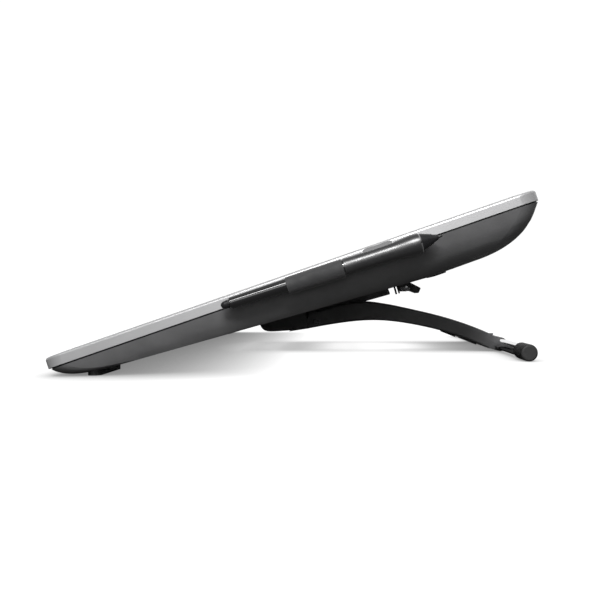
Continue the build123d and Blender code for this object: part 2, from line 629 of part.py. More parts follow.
with BuildPart() as leg_frame:
    add(arm(-LEG_HALF))
    add(arm(ARM_IN))
    # thin web along the arms' lower side, with a hand window through it
    with BuildSketch(leg_side(-WEB_HALF)):
        with BuildLine():
            low = Spline(*[(a, n + WEB_RISE) for a, n in LOWER[1:]])
            high = Spline(*[(a, n + WEB_RISE + WEB) for a, n in reversed(LOWER[1:])])
            Line(low @ 1, high @ 0)
            Line(high @ 1, low @ 0)
        make_face()
    extrude(amount=2 * WEB_HALF)
    with BuildSketch(leg_side(-LEG_HALF)):
        with Locations((LEG_REACH, 0)):
            Circle(BOSS_R)
        with BuildLine():
            Polyline((198, -6.1), (209.5, -7.77), (213, 7.6), (198, 8.5), (198, -6.1))
        make_face()
    extrude(amount=2 * LEG_HALF)
    window_plane = Plane(origin=leg_side(0).origin, x_dir=(1, 0, 0), z_dir=leg_side(0).y_dir)
    add(slabs(window_plane.offset(-20), [(0, (WINDOW_FROM + WINDOW_TO) / 2)],
              (2 * WINDOW_HALF, WINDOW_TO - WINDOW_FROM), 60, 14), mode=Mode.SUBTRACT)
    with BuildSketch(leg_side(-LEG_HALF - 1)):
        with Locations((LEG_REACH, 0)):
            Circle(BAR_R)
    extrude(amount=2 * LEG_HALF + 2, mode=Mode.SUBTRACT)
    with BuildSketch(leg_side(-BUSH_END)):
        Circle(BUSH_R)
    extrude(amount=2 * BUSH_END, mode=Mode.SUBTRACT)
    with BuildSketch(leg_side(-LEG_HALF - 1)):
        RectangleRounded(CAP_SLOT[0], CAP_SLOT[1], 0.8)
    extrude(amount=2 * LEG_HALF + 2, mode=Mode.SUBTRACT)
    for x in BAR_SCREWS:
        add(disc(bar_seat(x), BAR_SCREW_R, BOSS_R), mode=Mode.SUBTRACT)
        add(disc(bar_seat(x), BAR_HEAD_R + 0.3, -4), mode=Mode.SUBTRACT)
save(leg_frame, "leg_frame")

with BuildPart() as leg_pads:
    for start in (-LEG_HALF + 4, ARM_IN + 4.5):
        with BuildSketch(leg_side(start)):
            with BuildLine():
                Polyline((166, 0.6), (184.5, -4.2), (184.5, 5), (166, 5), (166, 0.6))
            make_face()
        extrude(amount=18)
    add(leg_frame.part, mode=Mode.SUBTRACT)
save(leg_pads, "leg_pads")

# ---------------------------------------------------------------- cross bar
BAR_WALL = 1.4

with BuildPart() as cross_bar:
    with BuildSketch(bar_side(-BAR_HALF)):
        Circle(BAR_R)
        Circle(BAR_R - BAR_WALL, mode=Mode.SUBTRACT)
    extrude(amount=2 * BAR_HALF)
    for x in BAR_SCREWS:
        with BuildSketch(Plane(origin=(CENTRE_X + x, BAR.Y, BAR.Z))):
            Circle(BAR_SCREW_R)
        extrude(amount=BAR_R + 2, mode=Mode.SUBTRACT)
save(cross_bar, "cross_bar")

GROOVES = 5
GROOVE_STEP = 4.3
GROOVE_WIDTH = 1.3
GROOVE_DEPTH = 0.55


def end_cap(side):
    """Ribbed rubber cap on one end of the bar: side is 1 on the right, -1 on the left."""
    with BuildPart() as cap:
        with BuildSketch(bar_side(side * CAP_END)):
            Circle(CAP_R)
        extrude(amount=-side * CAP_LENGTH)
        rims = cap.edges().filter_by(GeomType.CIRCLE).sort_by(Axis.X)
        fillet(rims[-1 if side > 0 else 0], 2.2)
        with BuildSketch(bar_side(side * BAR_HALF)):
            Circle(BAR_R)
        extrude(amount=-side * CAP_LENGTH, mode=Mode.SUBTRACT)
        for k in range(GROOVES):
            with BuildSketch(bar_side(side * (CAP_END - 6 - GROOVE_STEP * k))):
                Circle(CAP_R + 1)
                Circle(CAP_R - GROOVE_DEPTH, mode=Mode.SUBTRACT)
            extrude(amount=-side * GROOVE_WIDTH, mode=Mode.SUBTRACT)
    return cap.part


with BuildPart() as bar_caps:
    add(end_cap(-1))
    add(end_cap(1))
save(bar_caps, "bar_caps")

with BuildPart() as bar_screws:
    for x in BAR_SCREWS:
        add(screws(bar_seat(x), [(0, 0)], BAR_SCREW_R, BOSS_R - 3, BAR_HEAD_R, 1.9))
save(bar_screws, "bar_screws")

# ---------------------------------------------------------------- release lever and lock rod
LEVER_AXIS = (102.0, -5.5)
LEVER_HALF = 19.5
LEVER_PIN_R = 1.5
EAR_IN = 24.5
POST_U = 93.4
POST_THICK = 1.4
POST_LOW = -11.2
ROD_FROM = 10.0
ROD_PIN_U = 90.0
ROD_PIN_R = 1.2

with BuildPart() as release_lever:
    with BuildSketch(stand_side(-LEVER_HALF)):
        with BuildLine():
            Polyline((95.0, -2.6), (108.5, -1.1), (119.8, -11.6), (115.2, -17.2), (104.6, -9.5),
                     (99.7, -7.6), (95.0, -4.2), (95.0, -2.6))
        make_face()
    extrude(amount=2 * LEVER_HALF)
    long_edges = release_lever.edges().filter_by(Axis.X)
    outer_edges = long_edges.sort_by(Axis(origin=BACK.origin, direction=BACK.y_dir))[-2:]
    fillet(outer_edges, 1.4)
    with BuildSketch(stand_side(-LEVER_HALF - 1)):
        with Locations(LEVER_AXIS):
            Circle(LEVER_PIN_R + RUN)
    extrude(amount=2 * LEVER_HALF + 2, mode=Mode.SUBTRACT)
save(release_lever, "release_lever")

with BuildPart() as lever_bracket:
    for start in (-TONGUE_HALF, EAR_IN):
        with BuildSketch(stand_side(start)):
            with BuildLine():
                Polyline((94.5, PLATE_LOW), (104.0, PLATE_LOW), (106.0, -3.0), (105.6, -11.7),
                         (95.0, -8.8), (94.5, PLATE_LOW))
            make_face()
            with Locations(LEVER_AXIS):
                Circle(LEVER_PIN_R, mode=Mode.SUBTRACT)
        extrude(amount=TONGUE_HALF - EAR_IN)
save(lever_bracket, "lever_bracket")

with BuildPart() as lever_pin:
    with BuildSketch(stand_side(-TONGUE_HALF - 0.6)):
        with Locations(LEVER_AXIS):
            Circle(LEVER_PIN_R)
    extrude(amount=2 * TONGUE_HALF + 1.2)
save(lever_pin, "lever_pin")

SPRING_R = 2.5
SPRING_WIRE_R = 0.3
SPRING_PITCH = 0.85
SPRING_FROM = 20.2
SPRING_LENGTH = 3.4
spring_start = stand_side(SPRING_FROM).from_local_coords((LEVER_AXIS[0], LEVER_AXIS[1], 0))
with BuildPart() as lever_spring:
    with BuildLine():
        coil = Helix(pitch=SPRING_PITCH, height=SPRING_LENGTH, radius=SPRING_R, center=spring_start,
                     direction=(1, 0, 0))
    with BuildSketch(Plane(origin=coil @ 0, z_dir=coil % 0)):
        Circle(SPRING_WIRE_R)
    sweep(path=coil, is_frenet=True)
save(lever_spring, "lever_spring")

with BuildPart() as lock_rod:
    with BuildSketch(stand_side(-ROD_HALF)):
        with BuildLine():
            Polyline((ROD_FROM, ROD_TOP), (POST_U + POST_THICK / 2, ROD_TOP),
                     (POST_U + POST_THICK / 2 + 0.5, POST_LOW), (POST_U - POST_THICK / 2 + 0.5, POST_LOW),
                     (POST_U - POST_THICK / 2, ROD_LOW), (ROD_FROM, ROD_LOW), (ROD_FROM, ROD_TOP))
        make_face()
    extrude(amount=2 * ROD_HALF)
    add(discs(inside(POST_LOW), [(0, ROD_PIN_U)], ROD_PIN_R, ROD_LOW - POST_LOW))
save(lock_rod, "lock_rod")

# ---------------------------------------------------------------- pen and its loop
GRIP_START = 98.0
GRIP_END = 157.6
RING_END = 158.5
CONE_END = 172.4
ROCKER_MID = 126.0
ROCKER_PIVOT = 4.95      # pivot height above the pen's axis
ROCKER_PIN_R = 0.5
ROCKER_HALF = 2.7
SLOT_FLOOR = 4.3
SLOT_WIDTH = 6.2
CORE_BORE_R = 3.3


def turned(points):
    """Solid of revolution about the pen's axis: points are (station from the tail, radius)."""
    with BuildPart() as made:
        with BuildSketch(PEN_SIDE):
            with BuildLine():
                Polyline(*points, points[0])
            make_face()
        revolve(axis=PEN_AXIS)
    return made.part


with BuildPart() as pen_eraser:
    with BuildSketch(PEN_SIDE):
        with BuildLine():
            Spline((0, 0), (1.2, 2.3), (6.2, 3.35), tangents=((0, 1), (1, 0.15)))
            Polyline((6.2, 3.35), (6.2, 1.6), (15, 1.6), (15, 0), (0, 0))
        make_face()
    revolve(axis=PEN_AXIS)
save(pen_eraser, "pen_eraser")

with BuildPart() as pen_barrel:
    add(turned([(7.2, 1.7), (7.2, 4.1), (7.8, 4.5), (52, 5.4), (GRIP_START, 5.95), (GRIP_START, 4.4),
                (22, 3.6), (18, 1.7)]))
save(pen_barrel, "pen_barrel")

with BuildPart() as pen_core:
    with BuildSketch(pen_at(30)):
        Rectangle(5.4, 1.4)
    extrude(amount=118)
    with BuildSketch(pen_at(148)):
        Circle(2.8)
    extrude(amount=8)
save(pen_core, "pen_core")

with BuildPart() as pen_grip:
    with BuildSketch(PEN_SIDE):
        with BuildLine():
            Line((GRIP_START, CORE_BORE_R), (GRIP_START, 6.2))
            Spline((GRIP_START, 6.2), (112, 6.15), (130, 6.4), (141, 6.85), (152, 7.7), (GRIP_END, 7.45))
            Polyline((GRIP_END, 7.45), (GRIP_END, CORE_BORE_R), (GRIP_START, CORE_BORE_R))
        make_face()
    revolve(axis=PEN_AXIS)
    with BuildSketch(Plane(origin=PEN_SIDE.from_local_coords((ROCKER_MID, SLOT_FLOOR)),
                           x_dir=PEN_DIR, z_dir=PEN_SIDE.y_dir)):
        SlotOverall(27.4, SLOT_WIDTH)
    extrude(amount=6, mode=Mode.SUBTRACT)
    # pivot pin across the slot
    with BuildSketch(PEN_SIDE.offset(-SLOT_WIDTH / 2 - 0.1)):
        with Locations((ROCKER_MID, ROCKER_PIVOT)):
            Circle(ROCKER_PIN_R)
    extrude(amount=SLOT_WIDTH + 0.2)
save(pen_grip, "pen_grip")

with BuildPart() as pen_switch:
    with BuildSketch(PEN_SIDE.offset(-ROCKER_HALF)):
        with BuildLine():
            Polyline((116.4, 5.2), (114.4, 6.2), (114.4, 7.4))
            Spline((114.4, 7.4), (120, 8.25), (126, 8.1), (132, 8.45), (137.6, 8.0))
            Polyline((137.6, 8.0), (137.6, 6.2), (135.6, 5.2), (127.4, 5.2), (127.0, 4.75),
                     (125.0, 4.75), (124.6, 5.2), (116.4, 5.2))
        make_face()
        # open seat that snaps on the pivot pin
        with Locations((ROCKER_MID, ROCKER_PIVOT)):
            Circle(ROCKER_PIN_R + RUN, mode=Mode.SUBTRACT)
    extrude(amount=2 * ROCKER_HALF)
save(pen_switch, "pen_switch")

with BuildPart() as pen_ring:
    add(turned([(GRIP_END, CORE_BORE_R), (GRIP_END, 7.5), (RING_END, 7.35), (RING_END, CORE_BORE_R)]))
save(pen_ring, "pen_ring")

NIB_R = 1.05
with BuildPart() as pen_cone:
    add(turned([(RING_END, NIB_R + RUN), (RING_END, 7.1), (167.9, 3.6), (168.1, 3.2), (171.6, 2.1),
                (CONE_END, 1.6), (CONE_END, NIB_R + RUN)]))
save(pen_cone, "pen_cone")

with BuildPart() as pen_nib:
    with BuildSketch(PEN_SIDE):
        with BuildLine():
            Polyline((161, 0), (161, NIB_R), (PEN_LENGTH - 1.6, NIB_R))
            Spline((PEN_LENGTH - 1.6, NIB_R), (PEN_LENGTH - 0.5, 0.75), (PEN_LENGTH, 0),
                   tangents=((1, 0), (0, -1)))
            Line((PEN_LENGTH, 0), (161, 0))
        make_face()
    revolve(axis=PEN_AXIS)
save(pen_nib, "pen_nib")

LOOP_BORE_R = 6.03
with BuildPart() as pen_loop:
    add(turned([(LOOP_START, 5.0), (LOOP_START, 6.75), (60, 6.95), (90, 7.1), (LOOP_END, 7.0),
                (LOOP_END, 5.0)]))
    with BuildSketch(pen_at(LOOP_START + 4)):
        with Locations((-(PEN_GAP + 4.6) / 2, 2.6)):
            Rectangle(PEN_GAP - 4.6, 3.2)
    extrude(amount=LOOP_END - LOOP_START - 8)
    with BuildSketch(pen_at(LOOP_START - 1)):
        Circle(LOOP_BORE_R)
    extrude(amount=LOOP_END - LOOP_START + 2, mode=Mode.SUBTRACT)
save(pen_loop, "pen_loop")
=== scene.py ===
import json
from math import cos, pi, sin, tau

import bmesh
import bpy
from mathutils import Matrix, Vector


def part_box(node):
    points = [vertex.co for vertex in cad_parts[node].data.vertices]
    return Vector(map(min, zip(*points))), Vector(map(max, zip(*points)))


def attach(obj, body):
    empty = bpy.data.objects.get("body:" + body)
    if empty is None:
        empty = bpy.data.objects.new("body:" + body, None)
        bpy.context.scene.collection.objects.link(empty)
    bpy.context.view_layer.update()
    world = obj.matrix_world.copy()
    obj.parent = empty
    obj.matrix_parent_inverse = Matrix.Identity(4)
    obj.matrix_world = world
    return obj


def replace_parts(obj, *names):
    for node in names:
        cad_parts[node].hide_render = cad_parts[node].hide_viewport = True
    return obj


# Looks of the pen drawing tablet: materials, modelled surface detail, floor, light and camera.
# Metres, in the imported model's frame: +X is the user's right, +Y away from the user, +Z up.

MM = 0.001
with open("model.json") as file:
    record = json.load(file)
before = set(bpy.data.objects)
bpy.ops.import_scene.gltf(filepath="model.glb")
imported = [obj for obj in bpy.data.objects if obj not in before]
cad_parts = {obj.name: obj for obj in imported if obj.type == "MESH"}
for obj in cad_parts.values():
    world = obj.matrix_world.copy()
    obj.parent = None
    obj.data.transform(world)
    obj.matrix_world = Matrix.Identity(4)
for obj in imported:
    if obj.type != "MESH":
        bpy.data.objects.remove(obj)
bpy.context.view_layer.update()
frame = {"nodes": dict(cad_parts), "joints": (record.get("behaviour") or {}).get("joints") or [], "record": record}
record = frame["record"]
nodes = frame["nodes"]
joints = {joint["name"]: joint for joint in frame["joints"]}


# ---------------------------------------------------------------- frames of the object
def plane_matrix(origin, across, up):
    """Matrix whose x runs across, y up the plane and z out of it."""
    across, up = Vector(across).normalized(), Vector(up).normalized()
    turn = Matrix((across, up, across.cross(up))).transposed().to_4x4()
    return Matrix.Translation(origin) @ turn


def joint_axis(name):
    return Vector(joints[name]["axis"]).normalized()


SCREEN_OUT = -joint_axis("left_key_1_press")
UP_SLOPE = Vector((0, SCREEN_OUT.z, -SCREEN_OUT.y))
ACROSS = Vector((1, 0, 0))


def middle(node):
    low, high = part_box(node)
    return (Vector(low) + Vector(high)) / 2


# ---------------------------------------------------------------- materials
class Shader:
    """A principled material with helpers for the procedural nodes that drive it."""

    def __init__(self, name):
        self.material = bpy.data.materials.new(name)
        self.material.use_nodes = True
        self.tree = self.material.node_tree
        self.principled = self.tree.nodes["Principled BSDF"]
        self.place = self.add("ShaderNodeTexCoord").outputs["Object"]

    def add(self, kind, **settings):
        node = self.tree.nodes.new(kind)
        for key, value in settings.items():
            setattr(node, key, value)
        return node

    def link(self, source, target):
        self.tree.links.new(source, target)

    def set(self, **values):
        for key, value in values.items():
            self.principled.inputs[key.replace("_", " ")].default_value = value

    def stretched(self, stretch):
        """Object coordinates scaled per axis, for brushed or drawn surfaces."""
        mapping = self.add("ShaderNodeMapping")
        mapping.inputs["Scale"].default_value = stretch
        self.link(self.place, mapping.inputs["Vector"])
        return mapping.outputs["Vector"]

    def noise(self, size, place=None, detail=2.0):
        """Noise whose lumps are about size metres across."""
        noise = self.add("ShaderNodeTexNoise")
        noise.inputs["Scale"].default_value = 1 / size
        noise.inputs["Detail"].default_value = detail
        self.link(place or self.place, noise.inputs["Vector"])
        return noise.outputs["Fac"]

    def spread(self, source, low, high, start=0.3, end=0.7):
        """Map start..end of a value to low..high."""
        spread = self.add("ShaderNodeMapRange")
        for key, value in (("From Min", start), ("From Max", end), ("To Min", low), ("To Max", high)):
            spread.inputs[key].default_value = value
        self.link(source, spread.inputs["Value"])
        return spread.outputs["Result"]

    def mix(self, factor, first, second):
        """Colour between two colours or colour sockets."""
        mix = self.add("ShaderNodeMix", data_type="RGBA")
        self.link(factor, mix.inputs["Factor"])
        for socket, value in ((mix.inputs[6], first), (mix.inputs[7], second)):
            if isinstance(value, bpy.types.NodeSocket):
                self.link(value, socket)
            else:
                socket.default_value = (*value, 1.0)
        return mix.outputs[2]

    def bump(self, height, depth):
        bump = self.add("ShaderNodeBump")
        bump.inputs["Distance"].default_value = depth
        self.link(height, bump.inputs["Height"])
        return bump.outputs["Normal"]

    def paint_beyond(self, direction, level, paint):
        """A second colour on the part of a surface that lies beyond a level along a direction."""
        height = self.add("ShaderNodeVectorMath", operation="DOT_PRODUCT")
        height.inputs[1].default_value = direction
        self.link(self.place, height.inputs[0])
        beyond = self.add("ShaderNodeMath", operation="GREATER_THAN")
        beyond.inputs[1].default_value = level
        self.link(height.outputs["Value"], beyond.inputs[0])
        base = self.principled.inputs["Base Color"]
        self.link(self.mix(beyond.outputs["Value"], base.links[0].from_socket, paint), base)


CLOUD_SIZE = 24 * MM         # lumps of paler and darker colour
GLOSS_PATCH = 7 * MM         # patches of more and less gloss
EDGE_POINTINESS = (0.51, 0.6)
EDGE_PALER = 2.2
COAT_ROUGHNESS = 0.08


def shade(colour, factor):
    return tuple(min(part * factor, 1.0) for part in colour)


def finish(name, colour, roughness, metallic=0.0, grain=0.6, depth=0.02, mottle=0.12, wear=0.25,
           spread=0.06, stretch=None, coat=0.0, sheen=0.0, specular=0.5):
    """Moulded, painted or drawn surface: fine grain (size and depth in mm), mottling, paler edges."""
    made = Shader(name)
    place = made.stretched(stretch) if stretch else made.place
    cloud = made.noise(CLOUD_SIZE, detail=3.0)
    base = made.mix(made.spread(cloud, 0, 1), shade(colour, 1 - mottle), shade(colour, 1 + mottle))
    pointiness = made.add("ShaderNodeNewGeometry").outputs["Pointiness"]
    edge = made.spread(pointiness, 0, wear, *EDGE_POINTINESS)
    base = made.mix(edge, base, shade(colour, EDGE_PALER))
    made.link(base, made.principled.inputs["Base Color"])
    fine = made.noise(grain * MM, place, detail=3.0)
    made.link(made.spread(made.noise(GLOSS_PATCH, place), roughness - spread, roughness + spread),
              made.principled.inputs["Roughness"])
    made.link(made.bump(fine, depth * MM), made.principled.inputs["Normal"])
    made.set(Metallic=metallic, Coat_Weight=coat, Coat_Roughness=COAT_ROUGHNESS, Sheen_Weight=sheen,
             Specular_IOR_Level=specular)
    return made


TRACK_PITCH = 5 * MM
TRACK_WIDTH = 0.035          # the brick texture's mortar
TRACK_RELIEF = 0.03 * MM
MASK_COLOURS = ((0.012, 0.11, 0.045, 1), (0.01, 0.085, 0.035, 1))
TRACK_COLOUR = (0.05, 0.22, 0.09, 1)


def circuit_board(name):
    """Solder mask with a fine grid of tracks."""
    made = Shader(name)
    tracks = made.add("ShaderNodeTexBrick")
    tracks.inputs["Scale"].default_value = 1 / TRACK_PITCH
    tracks.inputs["Mortar Size"].default_value = TRACK_WIDTH
    tracks.inputs["Color1"].default_value, tracks.inputs["Color2"].default_value = MASK_COLOURS
    tracks.inputs["Mortar"].default_value = TRACK_COLOUR
    made.link(made.place, tracks.inputs["Vector"])
    made.link(tracks.outputs["Color"], made.principled.inputs["Base Color"])
    made.link(made.bump(tracks.outputs["Fac"], TRACK_RELIEF), made.principled.inputs["Normal"])
    made.set(Roughness=0.38)
    return made


FINISHES = {
    "cover": dict(colour=(0.15, 0.15, 0.152), roughness=0.42, grain=0.45, depth=0.012, wear=0.1,
                  specular=0.4),
    "bezel": dict(colour=(0.46, 0.46, 0.465), roughness=0.36, metallic=0.45, grain=0.35, depth=0.001,
                  mottle=0.03, wear=0.0, spread=0.02),
    "glass": dict(colour=(0.006, 0.006, 0.007), roughness=0.24, grain=0.12, depth=0.002, wear=0.0,
                  spread=0.02),
    "lcd": dict(colour=(0.01, 0.01, 0.012), roughness=0.2, grain=0.3, depth=0.002),
    "sheet_metal": dict(colour=(0.55, 0.56, 0.57), roughness=0.34, metallic=1.0, grain=0.5, depth=0.01,
                        stretch=(0.15, 1, 1)),
    "silicone": dict(colour=(0.4, 0.4, 0.39), roughness=0.6),
    "screw": dict(colour=(0.22, 0.22, 0.23), roughness=0.32, metallic=1.0, grain=0.2, depth=0.006),
    "lens": dict(colour=(0.7, 0.76, 0.82), roughness=0.15, coat=1.0),
    "strip": dict(colour=(0.012, 0.012, 0.013), roughness=0.3, depth=0.002, mottle=0.05, wear=0.0,
                  spread=0.01),
    "port_metal": dict(colour=(0.42, 0.42, 0.43), roughness=0.3, metallic=1.0, grain=0.3, depth=0.008),
    "rubber": dict(colour=(0.026, 0.026, 0.026), roughness=0.62, grain=0.4, depth=0.03, mottle=0.2, wear=0.3),
    "polymer": dict(colour=(0.7, 0.69, 0.64), roughness=0.42),
    "brass": dict(colour=(0.72, 0.5, 0.22), roughness=0.28, metallic=1.0, grain=0.3, depth=0.01),
    "plate_steel": dict(colour=(0.42, 0.42, 0.43), roughness=0.3, metallic=1.0, grain=0.4, depth=0.012,
                        stretch=(0.12, 1, 1)),
    "stand": dict(colour=(0.12, 0.12, 0.122), roughness=0.46, grain=0.4, depth=0.014, wear=0.15),
    "bracket": dict(colour=(0.42, 0.42, 0.43), roughness=0.4, grain=0.4, depth=0.01),
    "spring_steel": dict(colour=(0.5, 0.5, 0.5), roughness=0.22, metallic=1.0),
    "bronze": dict(colour=(0.4, 0.24, 0.1), roughness=0.36, metallic=1.0),
    "stand_trim": dict(colour=(0.007, 0.007, 0.008), roughness=0.3, depth=0.008, wear=0.05),
    "chrome": dict(colour=(0.86, 0.86, 0.87), roughness=0.07, metallic=1.0, grain=0.8, depth=0.002,
                   mottle=0.02, wear=0.0, spread=0.02),
    "lever": dict(colour=(0.016, 0.016, 0.017), roughness=0.42, grain=0.4, depth=0.02),
    "rod_steel": dict(colour=(0.02, 0.02, 0.021), roughness=0.4, metallic=0.3),
    "pen_gloss": dict(colour=(0.006, 0.006, 0.0065), roughness=0.1, coat=1.0, depth=0.001, grain=1.0,
                      mottle=0.05, wear=0.0, spread=0.02, specular=1.0),
    "pen_grip": dict(colour=(0.02, 0.02, 0.021), roughness=0.34, grain=0.3, depth=0.006, sheen=0.1,
                     specular=1.0),
    "pen_satin": dict(colour=(0.014, 0.014, 0.015), roughness=0.3, depth=0.006, wear=0.1),
    # the switch's pale grey is a painted highlight, for the light on its upward face
    "pen_switch": dict(colour=(0.12, 0.12, 0.122), roughness=0.22, coat=0.5, depth=0.004, specular=0.8),
    "nib": dict(colour=(0.02, 0.02, 0.02), roughness=0.5),
    "key": dict(colour=(0.024, 0.024, 0.025), roughness=0.38, grain=0.35, depth=0.014, wear=0.2),
    "elastic": dict(colour=(0.02, 0.02, 0.021), roughness=0.7, grain=0.25, depth=0.02, sheen=0.4),
}
shaders = {slot: finish(slot, **facts) for slot, facts in FINISHES.items()}
shaders["board"] = circuit_board("board")

GLASS_MIDDLE = 1.3 * MM      # depth of the glass plate's middle under the bezel's face
SEAM_DEPTH = 9.9 * MM        # bottom of the gap between bezel and cover
# painted shade: the cover's rim in the gap under the bezel, above SEAM_DEPTH, is coloured near black
SEAM_SHADE = (0.03, 0.03, 0.031)
# the bracket keeps its pale grey only in a band at its lower edge, which stands in for the light caught there;
# above it, painted shade
BRACKET_BAND = 4.6 * MM      # height of the pale band at the bracket's lower edge
BRACKET_SHADE = (0.012, 0.012, 0.012)
screen_centre = middle("screen_glass") + SCREEN_OUT * GLASS_MIDDLE


bracket_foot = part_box("lever_bracket")[0][2]
# painted shade in the gap between bezel and cover
shaders["cover"].paint_beyond(SCREEN_OUT, SCREEN_OUT.dot(screen_centre) - SEAM_DEPTH, SEAM_SHADE)
# painted shade on the bracket above its pale lower band
shaders["bracket"].paint_beyond(Vector((0, 0, 1)), bracket_foot + BRACKET_BAND, BRACKET_SHADE)

for subpart in record["subparts"]:
    node_mesh = nodes[subpart["node"]].data
    node_mesh.materials.clear()
    node_mesh.materials.append(shaders[subpart["material_slot"]].material)


# ---------------------------------------------------------------- modelled pieces
def add_piece(name, data, slot, body):
    data.materials.append(shaders[slot].material)
    piece = bpy.data.objects.new(name, data)
    bpy.context.scene.collection.objects.link(piece)
    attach(piece, body)
    return piece


def rounded(centre, size, radius, steps=6):
    """Outline of a rectangle with round corners, or of a circle where size is twice the radius."""
    points = []
    for quarter in range(4):
        turn = quarter * pi / 2
        side_x = 1 if quarter in (0, 3) else -1
        side_y = 1 if quarter in (0, 1) else -1
        x = centre[0] + side_x * (size[0] / 2 - radius)
        y = centre[1] + side_y * (size[1] / 2 - radius)
        for step in range(steps + 1):
            angle = turn + step * pi / 2 / steps
            points.append((x + radius * cos(angle), y + radius * sin(angle)))
    return points


def plate(name, outlines, thick, edge, matrix, slot, body):
    """Flat plate with holes: the first outline is its edge, the others are cut out of it."""
    curve = bpy.data.curves.new(name, "CURVE")
    curve.dimensions = "2D"
    curve.fill_mode = "BOTH"
    curve.extrude = thick / 2 - edge
    curve.bevel_depth = edge
    curve.bevel_resolution = 1
    curve.offset = -edge
    for outline in outlines:
        spline = curve.splines.new("POLY")
        spline.points.add(len(outline) - 1)
        for point, (x, y) in zip(spline.points, outline):
            point.co = (x, y, 0, 1)
        spline.use_cyclic_u = True
    flat = bpy.data.objects.new(name, curve)
    bpy.context.scene.collection.objects.link(flat)
    mesh = bpy.data.meshes.new_from_object(flat.evaluated_get(bpy.context.evaluated_depsgraph_get()))
    bpy.data.objects.remove(flat)
    mesh.transform(matrix)
    mesh.name = name
    mesh.materials.clear()
    add_piece(name, mesh, slot, body)


screen_matrix = plane_matrix(screen_centre, ACROSS, UP_SLOPE)


def on_screen(node):
    """A node's middle in the screen plane, from the screen's centre."""
    local = screen_matrix.inverted() @ middle(node)
    return local.x, local.y


FASCIA = (636 * MM, 395.4 * MM)
FASCIA_RADIUS = 15 * MM
FASCIA_THICK = 0.4 * MM
FASCIA_EDGE = 0.1 * MM
GLASS_HOLE = (505 * MM, 297 * MM)
GLASS_HOLE_RADIUS = 2.2 * MM
KEY_HOLE = (21.9 * MM, 17.9 * MM)
KEY_HOLE_RADIUS = 2.3 * MM
TOGGLE_HOLE = 23.9 * MM
POWER_HOLE = (16.9 * MM, 6.9 * MM)
POWER_HOLE_RADIUS = 2.8 * MM
LIGHT_HOLE = 3.2 * MM
ROUND_STEPS = 10             # segments per quarter of the large round corners
KEYS = [f"{side}_key_{place}" for side in ("left", "right") for place in range(1, 7)]


def fascia():
    """Thin gloss black sheet on the bezel's face, cut out round the glass and the keys."""
    outlines = [rounded((0, 0), FASCIA, FASCIA_RADIUS, ROUND_STEPS),
                rounded((0, 0), GLASS_HOLE, GLASS_HOLE_RADIUS)]
    outlines += [rounded(on_screen(key), KEY_HOLE, KEY_HOLE_RADIUS) for key in KEYS]
    for toggle in ("left_toggle", "right_toggle"):
        outlines.append(rounded(on_screen(toggle), (TOGGLE_HOLE, TOGGLE_HOLE), TOGGLE_HOLE / 2,
                                ROUND_STEPS))
    outlines.append(rounded(on_screen("power_key"), POWER_HOLE, POWER_HOLE_RADIUS))
    outlines.append(rounded(on_screen("status_light"), (LIGHT_HOLE, LIGHT_HOLE), LIGHT_HOLE / 2))
    face = screen_matrix @ Matrix.Translation((0, 0, FASCIA_THICK / 2))
    plate("front_fascia", outlines, FASCIA_THICK, FASCIA_EDGE, face, "strip", "tablet")


fascia()

# the pen's axis, from the rocker switch's pivot, which stands over it
ROCKER_STATION = 126 * MM
ROCKER_HEIGHT = 5.8 * MM     # 0.85 mm more than the pivot's height, so the loop is that much too low
pen_along = joint_axis("pen_pull")
pen_up = Vector((0, -pen_along.z, pen_along.y))
pen_tail = Vector(joints["rocker_press"]["pos_m"]) - pen_up * ROCKER_HEIGHT - pen_along * ROCKER_STATION
LOOP_START, LOOP_END = 52.4 * MM, 96.7 * MM
LOOP_BORE = 6.1 * MM
LOOP_OUTER, LOOP_SWELL = 6.62 * MM, 0.42 * MM
SWELL_RATE = 0.62            # how far along its half wave the swelling runs
YARNS_ROUND, YARNS_ALONG = 46, 46
YARN_STEPS = 4
YARN_RELIEF = 0.2 * MM
HEM_YARNS, HEM_HEIGHT = 2, 0.9


def weave(u, w):
    """Height, 0 to 1, of a plain weave: every other cell has its yarn the other way."""
    cell_u, cell_w = u % 1.0, w % 1.0
    if (int(u) + int(w)) % 2:
        cell_u, cell_w = cell_w, cell_u
    return sin(pi * cell_w) * (0.55 + 0.45 * sin(pi * cell_u))


def sleeve():
    """Elastic pen loop: a woven tube round the barrel; its sewn tab to the tablet's side is made by loop_tab."""
    work = bmesh.new()
    rows, columns = YARNS_ALONG * YARN_STEPS, YARNS_ROUND * YARN_STEPS

    def ring(station, radius_at):
        made = []
        for column in range(columns):
            angle = tau * column / columns
            out = ACROSS * cos(angle) + pen_up * sin(angle)
            made.append(work.verts.new(pen_tail + pen_along * station + out * radius_at(column)))
        return made

    rings = [ring(LOOP_START, lambda column: LOOP_BORE)]
    for row in range(rows + 1):
        t = row / rows
        base = LOOP_OUTER + LOOP_SWELL * sin(pi * min(t * SWELL_RATE, 1))
        hem = min(t, 1 - t) * rows < HEM_YARNS * YARN_STEPS

        def outside(column):
            height = HEM_HEIGHT if hem else weave(row / YARN_STEPS, column / YARN_STEPS)
            return base + YARN_RELIEF * height

        rings.append(ring(LOOP_START + (LOOP_END - LOOP_START) * t, outside))
    rings.append(ring(LOOP_END, lambda column: LOOP_BORE))
    for first, second in zip(rings, rings[1:] + rings[:1]):
        for column in range(columns):
            after = (column + 1) % columns
            work.faces.new((first[column], first[after], second[after], second[column])).smooth = True
    mesh = bpy.data.meshes.new("woven_loop")
    bmesh.ops.recalc_face_normals(work, faces=work.faces)
    work.to_mesh(mesh)
    work.free()
    return add_piece("woven_loop", mesh, "elastic", "tablet")


